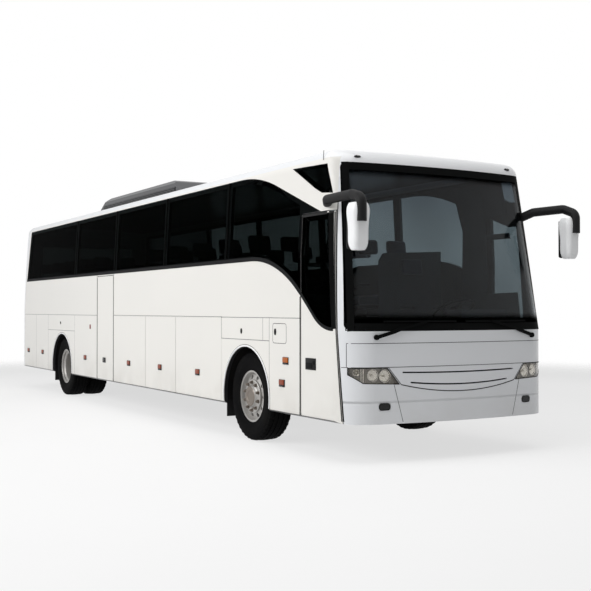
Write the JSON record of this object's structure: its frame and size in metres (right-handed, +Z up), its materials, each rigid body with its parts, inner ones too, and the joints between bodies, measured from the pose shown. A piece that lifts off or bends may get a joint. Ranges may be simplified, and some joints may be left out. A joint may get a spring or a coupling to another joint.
{
  "type": "coach bus",
  "caption": "Touring coach with swept side glazing, a roof air unit, forward-hung mirrors, luggage flaps, two plug doors, a steered front axle and twin rear wheels.",
  "frame": {"origin": "middle of the bounding box, on the ground", "axes": "+Z up, the front faces -Y, the kerb side with the doors is -X"},
  "size_m": [3.0026, 12.499, 3.3399],
  "materials": {
    "body_paint": "gloss",
    "mirror_shell": "gloss",
    "side_glass": "gloss",
    "screen_glass": "gloss",
    "clear_lamp": "gloss",
    "red_lamp": "gloss",
    "amber_lamp": "gloss",
    "dark_trim": "satin",
    "roof_unit": "satin",
    "rubber_flap": "matte",
    "tyre": "matte",
    "wheel_steel": "satin",
    "chassis": "matte",
    "axle_iron": "matte",
    "floor_cover": "matte",
    "dash_plastic": "matte",
    "seat_cloth": "matte"
  },
  "bodies": {
    "coach_body": {"air_conditioner": "roof_unit", "cabin_floor": "floor_cover", "dashboard": "dash_plastic", "driver_platform": "floor_cover", "driver_seat": "seat_cloth", "driver_side_wall": "body_paint", "driver_windows": "side_glass", "engine_block": "axle_iron", "entrance_steps": "floor_cover", "fog_lamps": "clear_lamp", "front_axle": "axle_iron", "front_bumper": "body_paint", "front_cap": "body_paint", "front_panel": "body_paint", "grille_panel": "body_paint", "headlamps": "clear_lamp", "kerb_side_wall": "body_paint", "kerb_windows": "side_glass", "luggage_hold": "chassis", "marker_lamps": "amber_lamp", "mirror_arms": "dark_trim", "mirror_heads": "mirror_shell", "mud_flaps": "rubber_flap", "passenger_seats": "seat_cloth", "rear_axle": "axle_iron", "rear_wall": "body_paint", "rear_window": "side_glass", "roof": "body_paint", "service_panel": "body_paint", "steering_wheel": "dark_trim", "tail_lamps": "red_lamp", "underframe": "chassis", "wheel_housings": "chassis", "windscreen": "screen_glass", "wipers": "dark_trim"},
    "steer_unit_kerb": {"knuckle_kerb": "axle_iron"},
    "steer_unit_driver": {"knuckle_driver": "axle_iron"},
    "front_wheel_unit_kerb": {"front_wheel_kerb": "wheel_steel", "front_tyre_kerb": "tyre"},
    "front_wheel_unit_driver": {"front_wheel_driver": "wheel_steel", "front_tyre_driver": "tyre"},
    "rear_wheel_unit_kerb": {"rear_wheel_kerb": "wheel_steel", "rear_tyres_kerb": "tyre"},
    "rear_wheel_unit_driver": {"rear_wheel_driver": "wheel_steel", "rear_tyres_driver": "tyre"},
    "front_door_post": {"front_door_arm": "chassis"},
    "front_door_leaf": {"front_door": "body_paint", "front_door_glass": "side_glass"},
    "middle_door_post": {"middle_door_arm": "chassis"},
    "middle_door_leaf": {"middle_door": "body_paint"},
    "engine_lid": {"engine_lid": "body_paint"},
    "luggage_flap_kerb_1": {"luggage_flap_kerb_1": "body_paint"},
    "luggage_flap_kerb_2": {"luggage_flap_kerb_2": "body_paint"},
    "luggage_flap_kerb_3": {"luggage_flap_kerb_3": "body_paint"},
    "luggage_flap_driver_1": {"luggage_flap_driver_1": "body_paint"},
    "luggage_flap_driver_2": {"luggage_flap_driver_2": "body_paint"},
    "luggage_flap_driver_3": {"luggage_flap_driver_3": "body_paint"}
  },
  "joints": [
    {"name": "steer_kerb", "type": "hinge", "parent": "coach_body", "child": "steer_unit_kerb", "pos_m": [-0.967, -3.5875, 0.505], "axis": [0, 0, 1], "range_deg": [-45, 45]},
    {"name": "front_wheel_spin_kerb", "type": "hinge", "parent": "steer_unit_kerb", "child": "front_wheel_unit_kerb", "pos_m": [-1.067, -3.5875, 0.505], "axis": [1, 0, 0], "continuous": true},
    {"name": "rear_wheel_spin_kerb", "type": "hinge", "parent": "coach_body", "child": "rear_wheel_unit_kerb", "pos_m": [-1.067, 3.4925, 0.505], "axis": [1, 0, 0], "continuous": true},
    {"name": "steer_driver", "type": "hinge", "parent": "coach_body", "child": "steer_unit_driver", "pos_m": [0.967, -3.5875, 0.505], "axis": [0, 0, 1], "range_deg": [-45, 45]},
    {"name": "front_wheel_spin_driver", "type": "hinge", "parent": "steer_unit_driver", "child": "front_wheel_unit_driver", "pos_m": [1.067, -3.5875, 0.505], "axis": [1, 0, 0], "continuous": true},
    {"name": "rear_wheel_spin_driver", "type": "hinge", "parent": "coach_body", "child": "rear_wheel_unit_driver", "pos_m": [1.067, 3.4925, 0.505], "axis": [1, 0, 0], "continuous": true},
    {"name": "front_door_post_turn", "type": "hinge", "parent": "coach_body", "child": "front_door_post", "pos_m": [-1.1, -5.2875, 1.2], "axis": [0, 0, 1], "range_deg": [0, 110]},
    {"name": "front_door_leaf_turn", "type": "hinge", "parent": "front_door_post", "child": "front_door_leaf", "pos_m": [-1.1, -4.8875, 1.2], "axis": [0, 0, 1], "range_deg": [-110, 0]},
    {"name": "middle_door_post_turn", "type": "hinge", "parent": "coach_body", "child": "middle_door_post", "pos_m": [-1.1, 1.4325, 1.2], "axis": [0, 0, -1], "range_deg": [0, 110]},
    {"name": "middle_door_leaf_turn", "type": "hinge", "parent": "middle_door_post", "child": "middle_door_leaf", "pos_m": [-1.1, 1.0325, 1.2], "axis": [0, 0, -1], "range_deg": [-110, 0]},
    {"name": "engine_lid_lift", "type": "hinge", "parent": "coach_body", "child": "engine_lid", "pos_m": [0, 6.2405, 1.4746], "axis": [1, 0, 0], "range_deg": [0, 80]},
    {"name": "luggage_flap_lift_kerb_1", "type": "hinge", "parent": "coach_body", "child": "luggage_flap_kerb_1", "pos_m": [-1.2735, -2.2675, 1.398], "axis": [0, 1, 0], "range_deg": [0, 100]},
    {"name": "luggage_flap_lift_kerb_2", "type": "hinge", "parent": "coach_body", "child": "luggage_flap_kerb_2", "pos_m": [-1.2735, -1.0275, 1.398], "axis": [0, 1, 0], "range_deg": [0, 100]},
    {"name": "luggage_flap_lift_kerb_3", "type": "hinge", "parent": "coach_body", "child": "luggage_flap_kerb_3", "pos_m": [-1.2735, 0.1725, 1.398], "axis": [0, 1, 0], "range_deg": [0, 100]},
    {"name": "luggage_flap_lift_driver_1", "type": "hinge", "parent": "coach_body", "child": "luggage_flap_driver_1", "pos_m": [1.2735, -2.2675, 1.398], "axis": [0, -1, 0], "range_deg": [0, 100]},
    {"name": "luggage_flap_lift_driver_2", "type": "hinge", "parent": "coach_body", "child": "luggage_flap_driver_2", "pos_m": [1.2735, -1.0275, 1.398], "axis": [0, -1, 0], "range_deg": [0, 100]},
    {"name": "luggage_flap_lift_driver_3", "type": "hinge", "parent": "coach_body", "child": "luggage_flap_driver_3", "pos_m": [1.2735, 0.1725, 1.398], "axis": [0, -1, 0], "range_deg": [0, 100]}
  ],
  "couplings": [
    {"joint": "steer_driver", "follows": "steer_kerb", "ratio": 1},
    {"joint": "front_door_leaf_turn", "follows": "front_door_post_turn", "ratio": -1},
    {"joint": "middle_door_leaf_turn", "follows": "middle_door_post_turn", "ratio": -1}
  ]
}
